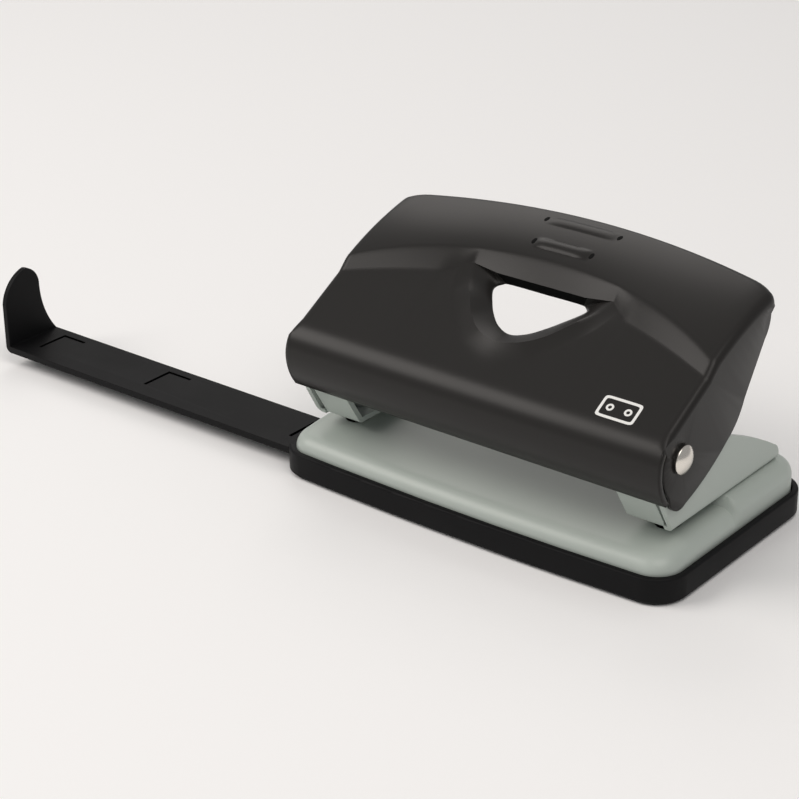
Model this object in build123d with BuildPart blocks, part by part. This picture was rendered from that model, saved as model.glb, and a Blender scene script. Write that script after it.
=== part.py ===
"""Compact two-hole paper punch with a pull-out paper guide.

Frame: X runs along the row of holes, Y points to the back, Z is up.
The origin is on the table, under the middle of the tray. Paper enters from the front, -Y.
Lengths are in millimetres.
"""

import os
from math import asin, cos, radians, sin, sqrt

from build123d import *

os.makedirs("parts", exist_ok=True)

# ---------------------------------------------------------------- driving dimensions
HOLE_SPACING = 80.0        # between the two punched holes
HOLE_DIAMETER = 5.5
HOLE_MARGIN = 12.0         # from the sheet's edge to the holes' centres
FIT = 0.05                 # radial running clearance of pins and rivets

TRAY_LENGTH = 100.6
TRAY_DEPTH = 56.2
TRAY_BOW = 1.1             # how far the front edge bows out at its middle
TRAY_CORNER = 7.5
TRAY_HEIGHT = 5.9
TRAY_FLOOR = 1.4
TRAY_WALL = 3.4            # thickness below the ledge
RIM_WIDTH = 1.2            # thickness of the rim above the ledge
LEDGE_Z = 4.4              # the pan's skirt stands just above this ledge

PAN_SHEET = 1.0
PAN_GAP = 0.4              # shadow gap between the tray's rim and the pan
PAN_BOTTOM_Z = 4.5
PAN_FRONT_Z = 10.0         # low front table that the sheets lie on
PAN_REAR_Z = 12.4          # raised platform, whose step stops the sheets
PAN_ROUND = 3.9            # rounding of the pan's outer edges
STEP_Y = 0.0
DIE_THICK = 1.5

PIVOT_Y = -19.1
PIVOT_Z = 29.0
HANDLE_HALF = 47.0         # outer face of the cheeks
HANDLE_SHEET = 1.0
PRESS_TRAVEL = 26.0        # degrees

BRACKET_SHEET = 1.2
WALL_OUTER_X = 45.6        # outer face of the bracket's side wall
BRACKET_INNER_X = 34.3     # free inner end of the bracket's plates
RIVET_PLACES = [(40.0, 6.5), (40.0, 16.5)]
RIVET_RADIUS = 1.5
UPPER_GUIDE_Z = 23.4       # underside of the bracket's upper plate

PIN_TIP_Z = 12.6
PIN_DOME_RADIUS = 3.0
SPRING_COILS = 5
SPRING_WIRE = 0.8
SPRING_MEAN_RADIUS = 3.55

GUIDE_Y = -16.9            # middle line of the guide bar
GUIDE_WIDTH = 15.4
GUIDE_THICK = 1.6
GUIDE_Z = 3.05             # its underside
GUIDE_STOP_X = -139.8      # outer face of the end stop
GUIDE_STOP_TOP = 22.8
GUIDE_INNER_X = -43.5      # inner end of the bar
GUIDE_MARKS = [-132.7, -97.6, -52.9]
MARK_WIDTH = 0.7
MARK_DEPTH = 0.3

# ---------------------------------------------------------------- derived places
HOLE_X = HOLE_SPACING / 2
HOLE_Y = STEP_Y - HOLE_MARGIN
WALL_INNER_X = WALL_OUTER_X - BRACKET_SHEET
CHEEK_INNER_X = HANDLE_HALF - HANDLE_SHEET
SIDES = {"left": -1, "right": 1}


def save(part, name):
    """Label a finished piece and write it to its own file."""
    part.label = name
    export_step(part, f"parts/{name}.step")


def dome_middle(radius, height):
    """Radial place and rise of the point halfway along a round dome's profile."""
    sphere = (radius**2 + height**2) / (2 * height)
    half_angle = asin(radius / sphere) / 2
    return sphere * sin(half_angle), height - sphere * (1 - cos(half_angle))


def span(side, low, high):
    """The x range [low, high] of the right side, mirrored for the left side."""
    return (low, high) if side > 0 else (-high, -low)


# ---------------------------------------------------------------- tray and pan outline
def plan_outline(inset):
    """Plan face of the tray or the pan: a rounded rectangle whose front edge bows out."""
    half_x = TRAY_LENGTH / 2 - inset
    half_y = TRAY_DEPTH / 2 - inset
    corner = TRAY_CORNER - inset
    with BuildSketch(mode=Mode.PRIVATE) as plan:
        with BuildLine():
            back = Line((half_x - corner, half_y), (-half_x + corner, half_y))
            back_left = TangentArc(back @ 1, (-half_x, half_y - corner), tangent=(-1, 0))
            left = Line(back_left @ 1, (-half_x, -half_y + corner))
            front_left = TangentArc(left @ 1, (-half_x + corner, -half_y), tangent=(0, -1))
            front = ThreePointArc(front_left @ 1, (0, -half_y - TRAY_BOW), (half_x - corner, -half_y))
            front_right = RadiusArc(front @ 1, (half_x, -half_y + corner), -corner)
            right = Line(front_right @ 1, (half_x, half_y - corner))
            TangentArc(right @ 1, back @ 0, tangent=(0, 1))
        make_face()
    return plan.sketch


# ---------------------------------------------------------------- chip tray
NOTCH_REACH = 7.9          # from the tray's end inwards, past the pocket's rounded corner
GUIDE_LOW_Y = GUIDE_Y - GUIDE_WIDTH / 2
GUIDE_HIGH_Y = GUIDE_Y + GUIDE_WIDTH / 2
TRAY_INNER_X = TRAY_LENGTH / 2 - TRAY_WALL

with BuildPart() as chip_tray:
    with BuildSketch():
        add(plan_outline(0))
    extrude(amount=TRAY_HEIGHT)
    chamfer(chip_tray.edges().group_by(Axis.Z)[0], length=0.7)
    fillet(chip_tray.edges().group_by(Axis.Z)[-1], radius=0.5)
    with BuildSketch(Plane.XY.offset(TRAY_FLOOR)):
        add(plan_outline(TRAY_WALL))
    extrude(amount=TRAY_HEIGHT, mode=Mode.SUBTRACT)
    with BuildSketch(Plane.XY.offset(LEDGE_Z)):
        add(plan_outline(RIM_WIDTH))
    extrude(amount=TRAY_HEIGHT, mode=Mode.SUBTRACT)
    # notch in the left wall, where the guide bar slides out
    with BuildSketch(Plane.XY.offset(GUIDE_Z - 0.05)):
        with Locations((-TRAY_LENGTH / 2, GUIDE_Y)):
            Rectangle(2 * NOTCH_REACH, GUIDE_WIDTH + 0.3)
    extrude(amount=TRAY_HEIGHT, mode=Mode.SUBTRACT)
    # two low rails that carry the bar, and a fence behind it with a way through for the chips
    with BuildSketch(Plane.XY.offset(TRAY_FLOOR)):
        with Locations((0, GUIDE_LOW_Y + 1.4), (0, GUIDE_HIGH_Y - 1.4)):
            Rectangle(2 * TRAY_INNER_X, 1.0)
    extrude(amount=GUIDE_Z - 0.05 - TRAY_FLOOR)
    with BuildSketch(Plane.XY.offset(TRAY_FLOOR)):
        with Locations((-TRAY_INNER_X + 1.5, GUIDE_HIGH_Y + 0.65)):
            Rectangle(3.0, 1.0)
        with Locations((0, GUIDE_HIGH_Y + 0.65)):
            Rectangle(66.0, 1.0)
        with Locations((TRAY_INNER_X - 1.5, GUIDE_HIGH_Y + 0.65)):
            Rectangle(3.0, 1.0)
    extrude(amount=LEDGE_Z - 0.1 - TRAY_FLOOR)
save(chip_tray.part, "chip_tray")


# ---------------------------------------------------------------- base pan
def pan_body(inset, sheet):
    """Solid body of the pan: a low front table and a raised platform behind the step."""
    with BuildPart() as table:
        with BuildSketch(Plane.XY.offset(PAN_BOTTOM_Z)):
            add(plan_outline(inset))
        extrude(amount=PAN_FRONT_Z - sheet - PAN_BOTTOM_Z)
        fillet(table.edges().group_by(Axis.Z)[-1], radius=PAN_ROUND - sheet)
    with BuildPart() as platform:
        with BuildSketch(Plane.XY.offset(PAN_BOTTOM_Z)):
            add(plan_outline(inset))
            with Locations((0, STEP_Y + sheet - TRAY_DEPTH)):
                Rectangle(2 * TRAY_LENGTH, 2 * TRAY_DEPTH, mode=Mode.SUBTRACT)
        extrude(amount=PAN_REAR_Z - sheet - PAN_BOTTOM_Z)
        top = platform.edges().group_by(Axis.Z)[-1]
        fillet(top.filter_by(lambda e: (e @ 0.5).Y > STEP_Y + sheet + 0.5), radius=PAN_ROUND - sheet)
    return table.part + platform.part


pan_inset = RIM_WIDTH + PAN_GAP
with BuildPart() as base_plate:
    add(pan_body(pan_inset, 0.0))
    add(pan_body(pan_inset + PAN_SHEET, PAN_SHEET), mode=Mode.SUBTRACT)
    with BuildSketch(Plane.XY.offset(PAN_REAR_Z)):
        with Locations((HOLE_X, HOLE_Y), (-HOLE_X, HOLE_Y)):
            Circle(HOLE_DIAMETER / 2 + FIT)
        for side in SIDES.values():
            with Locations(*[(side * x, y) for x, y in RIVET_PLACES]):
                Circle(RIVET_RADIUS + FIT)
    extrude(amount=-5, mode=Mode.SUBTRACT)
    # gate in the left skirt, over the guide bar
    with BuildSketch(Plane.XY.offset(PAN_BOTTOM_Z - 0.5)):
        with Locations((-TRAY_LENGTH / 2, GUIDE_Y)):
            Rectangle(2 * NOTCH_REACH, GUIDE_WIDTH + 0.8)
    extrude(amount=0.5 + GUIDE_Z + GUIDE_THICK + 0.3 - PAN_BOTTOM_Z, mode=Mode.SUBTRACT)
save(base_plate.part, "base_plate")


# ---------------------------------------------------------------- die plates
def die_plate(side):
    """Hardened plate welded under the table, with the hole that the pin shears against."""
    low, high = span(side, 34.4, 44.4)
    with BuildPart() as plate:
        with BuildSketch(Plane.XY.offset(PAN_FRONT_Z - PAN_SHEET - DIE_THICK)):
            with Locations(((low + high) / 2, HOLE_Y)):
                RectangleRounded(high - low, 12.0, 1.5)
            with Locations((side * HOLE_X, HOLE_Y)):
                Circle(HOLE_DIAMETER / 2 + FIT, mode=Mode.SUBTRACT)
        extrude(amount=DIE_THICK)
    return plate.part


# ---------------------------------------------------------------- punching brackets
LIP_TILT = radians(31.7)   # the lip leans forward from the vertical
LIP_LENGTH = 9.2
LIP_Y = -18.1
WALL_FRONT_Y = -18.7
WALL_BACK_Y = 21.5
PIVOT_SHANK_RADIUS = 2.0


def bracket_right_part():
    """Folded sheet: a floor with the pin's lower hole, a side wall and a raised front lip."""
    z0 = PAN_REAR_Z
    z1 = PAN_REAR_Z + BRACKET_SHEET
    pivot = Vector(PIVOT_Y, PIVOT_Z)
    with BuildPart() as folded:
        with BuildSketch(Plane.XZ.offset(26)):
            with BuildLine():
                Polyline(
                    (BRACKET_INNER_X, z0),
                    (WALL_OUTER_X, z0),
                    (WALL_OUTER_X, PIVOT_Z + 6),
                    (WALL_INNER_X, PIVOT_Z + 6),
                    (WALL_INNER_X, z1),
                    (BRACKET_INNER_X, z1),
                    close=True,
                )
            face = make_face()
            outer = face.vertices().sort_by(Axis.X).group_by(Axis.X)[-1].sort_by(Axis.Y)[0]
            fillet(outer, radius=1.5)
        extrude(amount=-(26 + WALL_BACK_Y))
        # the side view trims the wall: round over the pivot, falling to the back
        with BuildSketch(Plane.YZ.offset(BRACKET_INNER_X - 1)):
            with BuildLine():
                bottom = Line((WALL_BACK_Y, z0), (WALL_FRONT_Y, z0))
                lean = Line(bottom @ 1, (-22.6, 19.2))
                throat = Line(lean @ 1, pivot + Vector(-5.4, -1.6))
                crown = ThreePointArc(throat @ 1, pivot + Vector(-2.0, 5.25), pivot + Vector(2.6, 5.0))
                slope = Line(crown @ 1, (1.1, 25.8))
                fall = ThreePointArc(slope @ 1, (13.0, 20.4), (19.6, 16.6))
                corner = ThreePointArc(fall @ 1, (21.0, 15.4), (WALL_BACK_Y, 14.2))
                Line(corner @ 1, bottom @ 0)
            make_face()
        extrude(amount=WALL_OUTER_X - BRACKET_INNER_X + 2, mode=Mode.INTERSECT)
        # the floor ends at the lip's fold
        with BuildSketch(Plane.XY.offset(z0 - 1)):
            with Locations((BRACKET_INNER_X, LIP_Y + 1.6 - 20)):
                Rectangle(2 * (WALL_INNER_X - 1.0 - BRACKET_INNER_X), 40)
        extrude(amount=9, mode=Mode.SUBTRACT)
    lip_out = Vector(-sin(LIP_TILT), cos(LIP_TILT))
    lip_in = Vector(cos(LIP_TILT), sin(LIP_TILT)) * BRACKET_SHEET
    fold = Vector(LIP_Y, z0)
    inner_fold = fold + lip_in + lip_out * ((BRACKET_SHEET - lip_in.Y) / lip_out.Y)
    with BuildPart() as lip:
        with BuildSketch(Plane.YZ.offset(BRACKET_INNER_X)):
            with BuildLine():
                Polyline(
                    (LIP_Y + 1.6, z0),
                    fold,
                    fold + lip_out * LIP_LENGTH,
                    fold + lip_out * LIP_LENGTH + lip_in,
                    inner_fold,
                    (LIP_Y + 1.6, z1),
                    close=True,
                )
            face = make_face()
            fillet(face.vertices().sort_by_distance((LIP_Y, z0, 0))[0], radius=1.2)
        extrude(amount=WALL_INNER_X - 1.0 - BRACKET_INNER_X)
        chamfer(lip.edges().filter_by(Axis.X).sort_by(Axis.Z)[-1], length=0.2)
    with BuildPart() as bracket:
        add(folded.part)
        add(lip.part)
        with BuildSketch(Plane.XY.offset(z0 - 1)):
            with Locations((HOLE_X, HOLE_Y)):
                Circle(HOLE_DIAMETER / 2 + FIT)
            with Locations(*RIVET_PLACES):
                Circle(RIVET_RADIUS + FIT)
        extrude(amount=3, mode=Mode.SUBTRACT)
        with BuildSketch(Plane.YZ.offset(WALL_INNER_X - 1)):
            with Locations((PIVOT_Y, PIVOT_Z)):
                Circle(PIVOT_SHANK_RADIUS + FIT)
        extrude(amount=4, mode=Mode.SUBTRACT)
    return bracket.part


def upper_guide_right_part():
    """Small angle welded inside the wall, whose top leg guides the pin a second time."""
    leg_outer = WALL_INNER_X
    leg_inner = leg_outer - BRACKET_SHEET
    top = UPPER_GUIDE_Z + BRACKET_SHEET
    with BuildPart() as angle:
        with BuildSketch(Plane.XZ.offset(16.6)):
            with BuildLine():
                Polyline(
                    (leg_outer, 17.6),
                    (leg_outer, top),
                    (35.7, top),
                    (35.7, UPPER_GUIDE_Z),
                    (leg_inner, UPPER_GUIDE_Z),
                    (leg_inner, 17.6),
                    close=True,
                )
            make_face()
        extrude(amount=-9.2)
        with BuildSketch(Plane.XY.offset(top)):
            with Locations((HOLE_X, HOLE_Y)):
                Circle(HOLE_DIAMETER / 2 + FIT)
        extrude(amount=-2, mode=Mode.SUBTRACT)
    return angle.part


def bracket_rivets(side):
    """Two rivets that clamp the bracket's floor on the pan's platform."""
    low = PAN_REAR_Z - PAN_SHEET
    high = PAN_REAR_Z + BRACKET_SHEET
    head_radius = 2.6
    head_height = 1.1
    out, rise = dome_middle(head_radius, head_height)
    with BuildPart() as rivets:
        for x, y in RIVET_PLACES:
            x0 = side * x
            with BuildSketch(Plane.XZ.offset(-y)):
                with BuildLine():
                    Polyline(
                        (x0, low - 0.9),
                        (x0 + head_radius, low - 0.9),
                        (x0 + head_radius, low),
                        (x0 + RIVET_RADIUS, low),
                        (x0 + RIVET_RADIUS, high),
                        (x0 + head_radius, high),
                    )
                    ThreePointArc(
                        (x0 + head_radius, high),
                        (x0 + out, high + rise),
                        (x0, high + head_height),
                    )
                    Line((x0, high + head_height), (x0, low - 0.9))
                make_face()
            revolve(axis=Axis((x0, y, 0), (0, 0, 1)))
    return rivets.part


# ---------------------------------------------------------------- pivot
PIVOT_HEAD_RADIUS = 3.5
PIVOT_HEAD_HEIGHT = 1.6


def pivot_rivet_right_part():
    """Shouldered rivet with a domed head outside the cheek and an upset head inside the wall."""
    tail = WALL_INNER_X - 1.1
    head = HANDLE_HALF + 0.05
    out, rise = dome_middle(PIVOT_HEAD_RADIUS, PIVOT_HEAD_HEIGHT - 0.4)
    with BuildPart() as rivet:
        with BuildSketch(Plane.XZ.offset(-PIVOT_Y)):
            with BuildLine():
                Polyline(
                    (tail, PIVOT_Z),
                    (tail, PIVOT_Z + 2.6),
                    (tail + 0.4, PIVOT_Z + 3.0),
                    (WALL_INNER_X, PIVOT_Z + 3.0),
                    (WALL_INNER_X, PIVOT_Z + PIVOT_SHANK_RADIUS),
                    (head, PIVOT_Z + PIVOT_SHANK_RADIUS),
                    (head, PIVOT_Z + PIVOT_HEAD_RADIUS),
                    (head + 0.4, PIVOT_Z + PIVOT_HEAD_RADIUS),
                )
                ThreePointArc(
                    (head + 0.4, PIVOT_Z + PIVOT_HEAD_RADIUS),
                    (head + 0.4 + rise, PIVOT_Z + out),
                    (head + PIVOT_HEAD_HEIGHT, PIVOT_Z),
                )
                Line((head + PIVOT_HEAD_HEIGHT, PIVOT_Z), (tail, PIVOT_Z))
            make_face()
        revolve(axis=Axis((0, PIVOT_Y, PIVOT_Z), (1, 0, 0)))
    return rivet.part


def pivot_washer_right_part():
    """Thin spacer that keeps the painted cheek off the bracket's wall."""
    with BuildPart() as washer:
        with BuildSketch(Plane.YZ.offset(WALL_OUTER_X + 0.02)):
            with Locations((PIVOT_Y, PIVOT_Z)):
                Circle(4.2)
                Circle(PIVOT_SHANK_RADIUS + FIT, mode=Mode.SUBTRACT)
        extrude(amount=CHEEK_INNER_X - WALL_OUTER_X - 0.05)
    return washer.part


# ---------------------------------------------------------------- pins and their springs
PIN_RADIUS = HOLE_DIAMETER / 2
PIN_TOP_Z = 39.65          # the dome's top, just under the handle
GROOVE_Z = 34.6
GROOVE_RADIUS = 2.1
CLIP_THICK = 0.7
WASHER_THICK = 0.6
SPRING_LOW_Z = UPPER_GUIDE_Z + BRACKET_SHEET
SPRING_HIGH_Z = GROOVE_Z - WASHER_THICK


def punch_pin(side):
    """Hardened pin: domed head, clip groove and a hollow-ground cutting tip."""
    x0 = side * HOLE_X
    shoulder = PIN_TOP_Z - PIN_DOME_RADIUS + sqrt(PIN_DOME_RADIUS**2 - PIN_RADIUS**2)
    halfway = PIN_DOME_RADIUS * sin(radians(33))
    with BuildPart() as pin:
        with BuildSketch(Plane.XZ.offset(-HOLE_Y)):
            with BuildLine():
                Polyline(
                    (x0, PIN_TIP_Z),
                    (x0 + PIN_RADIUS, PIN_TIP_Z),
                    (x0 + PIN_RADIUS, GROOVE_Z),
                    (x0 + GROOVE_RADIUS, GROOVE_Z),
                    (x0 + GROOVE_RADIUS, GROOVE_Z + CLIP_THICK + 0.02),
                    (x0 + PIN_RADIUS, GROOVE_Z + CLIP_THICK + 0.02),
                    (x0 + PIN_RADIUS, shoulder),
                )
                ThreePointArc(
                    (x0 + PIN_RADIUS, shoulder),
                    (x0 + halfway, PIN_TOP_Z - PIN_DOME_RADIUS * (1 - cos(radians(33)))),
                    (x0, PIN_TOP_Z),
                )
                Line((x0, PIN_TOP_Z), (x0, PIN_TIP_Z))
            make_face()
        revolve(axis=Axis((x0, HOLE_Y, 0), (0, 0, 1)))
        with BuildSketch(Plane.XZ.offset(-HOLE_Y)):
            with BuildLine():
                Polyline(
                    (x0 - 2.3, PIN_TIP_Z - 0.1),
                    (x0 + 2.3, PIN_TIP_Z - 0.1),
                    (x0, PIN_TIP_Z + 1.1),
                    close=True,
                )
            make_face()
        extrude(amount=PIN_RADIUS + 1, both=True, mode=Mode.SUBTRACT)
    return pin.part


def spring_washer(side):
    with BuildPart() as washer:
        with BuildSketch(Plane.XY.offset(SPRING_HIGH_Z)):
            with Locations((side * HOLE_X, HOLE_Y)):
                Circle(4.1)
                Circle(PIN_RADIUS + FIT, mode=Mode.SUBTRACT)
        extrude(amount=WASHER_THICK)
    return washer.part


def retaining_clip(side):
    """Open spring-steel ring pushed sideways into the pin's groove."""
    with BuildPart() as clip:
        with BuildSketch(Plane.XY.offset(GROOVE_Z)):
            with Locations((side * HOLE_X, HOLE_Y)):
                Circle(3.9)
                Circle(GROOVE_RADIUS + 0.02, mode=Mode.SUBTRACT)
            with Locations((side * HOLE_X, HOLE_Y + 3)):
                Rectangle(2.8, 6.0, mode=Mode.SUBTRACT)
        extrude(amount=CLIP_THICK)
        fillet(clip.edges().filter_by(Axis.Z).group_by(Axis.Y)[-1], radius=0.4)
    return clip.part


def return_spring(side):
    """Compression spring between the upper guide and the washer on the pin."""
    low = SPRING_LOW_Z + SPRING_WIRE / 2 + 0.02
    height = SPRING_HIGH_Z - SPRING_LOW_Z - SPRING_WIRE - 0.04
    with BuildPart() as spring:
        with BuildLine():
            coil = Helix(
                pitch=height / SPRING_COILS,
                height=height,
                radius=SPRING_MEAN_RADIUS,
                center=(side * HOLE_X, HOLE_Y, low),
            )
        with BuildSketch(Plane(origin=coil @ 0, z_dir=coil % 0)):
            Circle(SPRING_WIRE / 2)
        sweep()
    return spring.part


# ---------------------------------------------------------------- handle
PANEL_SLOPE = 0.56         # rise of the lower panel, per millimetre to the back
PANEL_Z = 48.26            # height of the panel's plane over the origin
NOSE_LIP = (-24.4, 20.7)   # lower front edge of the handle
FLANGE_Z = 50.6            # lower edge of the turned-down back flange
FILL_Z = 10.0              # the sections are filled down to here before they are hollowed
WINDOW_HALF = 11.9         # sharp corners of the thumb window, before they are rounded


def panel_z(y):
    return PANEL_Z + PANEL_SLOPE * y


def handle_section(x, cover):
    """Side-view face of the handle at x, filled down to FILL_Z.

    The panel rises from the rolled nose to an arched step. Over the step lies the crowned
    top, which ends in a turned-down flange. Near the ends, cover rounds the top's corners.
    """
    far = max(0.0, abs(x) - cover + 6.0) / 6.0
    drop = 1.0 - sqrt(1.0 - min(far, 1.0) ** 2)
    step_low = Vector(-2.1 - 0.0039 * x**2, panel_z(-2.1 - 0.0039 * x**2))
    step_high = Vector(0.7 - 0.00033 * x**2 - 1.35e-6 * x**4, 52.2 - 0.00365 * x**2)
    top = Vector(19.4 - 0.0022 * x**2 - 2.4 * drop, 55.9 - 0.0013 * x**2 - 1.6 * drop)
    roll = top + Vector(-1.6, -0.1)
    crown = (step_high + roll) * 0.5 + Vector(-0.2, 0.9)
    with BuildSketch(Plane.YZ.offset(x), mode=Mode.PRIVATE) as section:
        with BuildLine():
            skirt = Line((-20.6, FILL_Z), NOSE_LIP)
            nose = ThreePointArc(skirt @ 1, (-26.5, 24.2), (-27.4, 28.2))
            brow = ThreePointArc(nose @ 1, (-26.55, 32.0), (-23.0, panel_z(-23.0)))
            panel = Line(brow @ 1, step_low)
            Line(panel @ 1, step_high)
            ThreePointArc(step_high, crown, roll)
            ThreePointArc(roll, top + Vector(0.35, -0.6), top + Vector(0.9, -2.3))
            Polyline(top + Vector(0.9, -2.3), (top.X + 0.9, FILL_Z), skirt @ 0)
        make_face()
    return section.sketch


def lining(x):
    """The section at x, set in by the sheet's thickness."""
    return offset(handle_section(x, CHEEK_INNER_X).face(), amount=-HANDLE_SHEET).face()


def handle_part():
    stations = [0.0, 14.0, 26.0, 35.0, 41.0, 44.0, 46.0]
    outer_x = [-HANDLE_HALF] + [-x for x in stations[:0:-1]] + stations + [HANDLE_HALF]
    inner_x = [-x for x in stations[:0:-1]] + stations
    with BuildPart() as outer:
        loft([handle_section(x, HANDLE_HALF).face() for x in outer_x], ruled=True)
    with BuildPart() as inner:
        loft([lining(x) for x in inner_x], ruled=True)
    with BuildPart() as underside:
        with BuildSketch(Plane.YZ.offset(-HANDLE_HALF - 1)):
            with BuildLine():
                lip = Polyline((-32, 20.7), (-23.6, 20.7), (-21.9, 19.0))
                tip = ThreePointArc(lip @ 1, (-20.6, 18.45), (-19.0, 18.7))
                belly = ThreePointArc(tip @ 1, (-10.7, 21.8), (-1.9, 26.6))
                heel = ThreePointArc(belly @ 1, (1.6, 29.5), (4.0, 33.4))
                back = Line(heel @ 1, (10.6, 43.7))
                shoulder = ThreePointArc(back @ 1, (12.5, 47.2), (13.4, FLANGE_Z))
                Polyline(shoulder @ 1, (32, FLANGE_Z), (32, 0), (-32, 0), lip @ 0)
            make_face()
        extrude(amount=2 * HANDLE_HALF + 2)
    with BuildPart() as shell:
        add(outer.part)
        add(inner.part, mode=Mode.SUBTRACT)
        add(underside.part, mode=Mode.SUBTRACT)
        # thumb window: a rounded triangle, widest at the back
        with BuildSketch(Plane.XY.offset(PIVOT_Z)):
            with BuildLine():
                Polyline((-WINDOW_HALF, 0.6), (WINDOW_HALF, 0.6), (0, -13.0), close=True)
            window = make_face()
            fillet(window.vertices().group_by(Axis.Y)[-1], radius=1.4)
            fillet(window.vertices().group_by(Axis.Y)[0], radius=5.0)
        extrude(amount=40, mode=Mode.SUBTRACT)
        with BuildSketch(Plane.YZ.offset(-HANDLE_HALF - 1)):
            with Locations((PIVOT_Y, PIVOT_Z)):
                Circle(PIVOT_SHANK_RADIUS + FIT)
        extrude(amount=2 * HANDLE_HALF + 2, mode=Mode.SUBTRACT)
    return shell.part


# ---------------------------------------------------------------- guide bar
def guide_bar_part():
    """Flat bar with an upright tongue at its outer end and a catch under its inner end."""
    top = GUIDE_Z + GUIDE_THICK
    wall = 1.4
    with BuildPart() as angle:
        with BuildSketch(Plane.XZ.offset(-GUIDE_LOW_Y)):
            with BuildLine():
                Polyline(
                    (GUIDE_INNER_X, GUIDE_Z),
                    (GUIDE_STOP_X, GUIDE_Z),
                    (GUIDE_STOP_X, GUIDE_STOP_TOP),
                    (GUIDE_STOP_X + wall, GUIDE_STOP_TOP),
                    (GUIDE_STOP_X + wall, top),
                    (GUIDE_INNER_X, top),
                    close=True,
                )
            bent = make_face()
            corners = bent.vertices().group_by(Axis.X)
            fillet(corners[0].sort_by(Axis.Y)[0], radius=1.6)
            fillet(corners[1].sort_by(Axis.Y)[0], radius=0.8)
        extrude(amount=-GUIDE_WIDTH)
        fillet(angle.edges().filter_by(Axis.Z).group_by(Axis.X)[-1], radius=2.0)
        # front view: what lies around the tongue is cut away
        with BuildSketch(Plane.YZ.offset(GUIDE_STOP_X - 1)):
            with Locations((GUIDE_Y, top + 15)):
                Rectangle(GUIDE_WIDTH + 6, 30)
            with BuildLine():
                base = Line((GUIDE_HIGH_Y, top), (GUIDE_LOW_Y, top))
                front = Line(base @ 1, (GUIDE_LOW_Y, 12.6))
                brow = ThreePointArc(front @ 1, (-22.9, 19.4), (-17.6, GUIDE_STOP_TOP))
                tip = ThreePointArc(brow @ 1, (-14.9, 21.2), (-13.6, 17.4))
                Spline(tip @ 1, (-12.2, 10.0), base @ 0)
            make_face(mode=Mode.SUBTRACT)
        extrude(amount=1 + 2 * wall, mode=Mode.SUBTRACT)
        # catch that stops the bar from leaving the tray
        with BuildSketch(Plane.XY.offset(GUIDE_Z)):
            with Locations((GUIDE_INNER_X - 1.6, GUIDE_Y)):
                Rectangle(3.2, 6.0)
        extrude(amount=-1.35)
        # engraved marks: a cross line and a short line along the rear edge for each sheet size
        with BuildSketch(Plane.XY.offset(top)):
            for x in GUIDE_MARKS:
                with Locations((x, GUIDE_Y + 0.9)):
                    Rectangle(MARK_WIDTH, 8.2)
                with Locations((x + 3.2, GUIDE_Y + 5.0)):
                    Rectangle(6.4 + MARK_WIDTH, MARK_WIDTH)
        extrude(amount=-MARK_DEPTH, mode=Mode.SUBTRACT)
    return angle.part


# ---------------------------------------------------------------- write every piece
for side_name, side in SIDES.items():
    save(die_plate(side), f"die_plate_{side_name}")
    save(bracket_rivets(side), f"bracket_rivets_{side_name}")
    save(punch_pin(side), f"punch_pin_{side_name}")
    save(spring_washer(side), f"spring_washer_{side_name}")
    save(retaining_clip(side), f"retaining_clip_{side_name}")
    save(return_spring(side), f"return_spring_{side_name}")

handed = {
    "bracket": bracket_right_part(),
    "upper_guide": upper_guide_right_part(),
    "pivot_rivet": pivot_rivet_right_part(),
    "pivot_washer": pivot_washer_right_part(),
}
for name, right in handed.items():
    save(right, f"{name}_right")
    save(mirror(right, about=Plane.YZ), f"{name}_left")

save(handle_part(), "handle")
save(guide_bar_part(), "guide_bar")
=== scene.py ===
"""Looks of the compact two-hole paper punch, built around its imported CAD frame.

X runs along the row of holes, Y points to the back, Z is up. Lengths are in metres.
"""

from math import cos, pi, radians, sin, sqrt

import bmesh
import bpy
from mathutils import Matrix, Vector


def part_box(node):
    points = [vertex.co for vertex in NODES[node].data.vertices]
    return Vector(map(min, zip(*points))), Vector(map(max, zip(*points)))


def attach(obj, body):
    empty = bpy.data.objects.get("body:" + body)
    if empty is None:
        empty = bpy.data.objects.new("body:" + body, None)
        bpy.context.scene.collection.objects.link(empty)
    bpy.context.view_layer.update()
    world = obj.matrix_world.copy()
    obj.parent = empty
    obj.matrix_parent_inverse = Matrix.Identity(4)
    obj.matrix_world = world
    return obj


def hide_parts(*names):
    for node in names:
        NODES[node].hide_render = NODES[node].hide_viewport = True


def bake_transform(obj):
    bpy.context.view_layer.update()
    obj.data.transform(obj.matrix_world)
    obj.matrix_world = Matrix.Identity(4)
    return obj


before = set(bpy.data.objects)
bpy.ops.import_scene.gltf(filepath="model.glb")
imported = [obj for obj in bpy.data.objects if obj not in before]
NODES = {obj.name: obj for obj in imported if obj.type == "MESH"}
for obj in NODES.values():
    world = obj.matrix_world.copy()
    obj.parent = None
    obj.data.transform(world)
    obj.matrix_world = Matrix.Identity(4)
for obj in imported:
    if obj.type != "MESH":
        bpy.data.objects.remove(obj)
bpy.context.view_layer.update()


# ---------------------------------------------------------------- floor, lights and camera
# A pale sweep of paper under three soft boxes, with a long lens in front of the right corner.
# None of it belongs to the punch.
def look_from(azimuth, elevation, roll, distance, target):
    """Pose of a camera that looks at the target, turned by roll about its own axis."""
    back = Vector((
        sin(azimuth) * cos(elevation),
        -cos(azimuth) * cos(elevation),
        sin(elevation),
    ))
    right = Vector((0, 0, 1)).cross(back).normalized()
    up = back.cross(right)
    turned_right = right * cos(roll) + up * sin(roll)
    turned_up = up * cos(roll) - right * sin(roll)
    pose = Matrix((turned_right, turned_up, back)).transposed().to_4x4()
    pose.translation = Vector(target) + back * distance
    return pose


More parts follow.
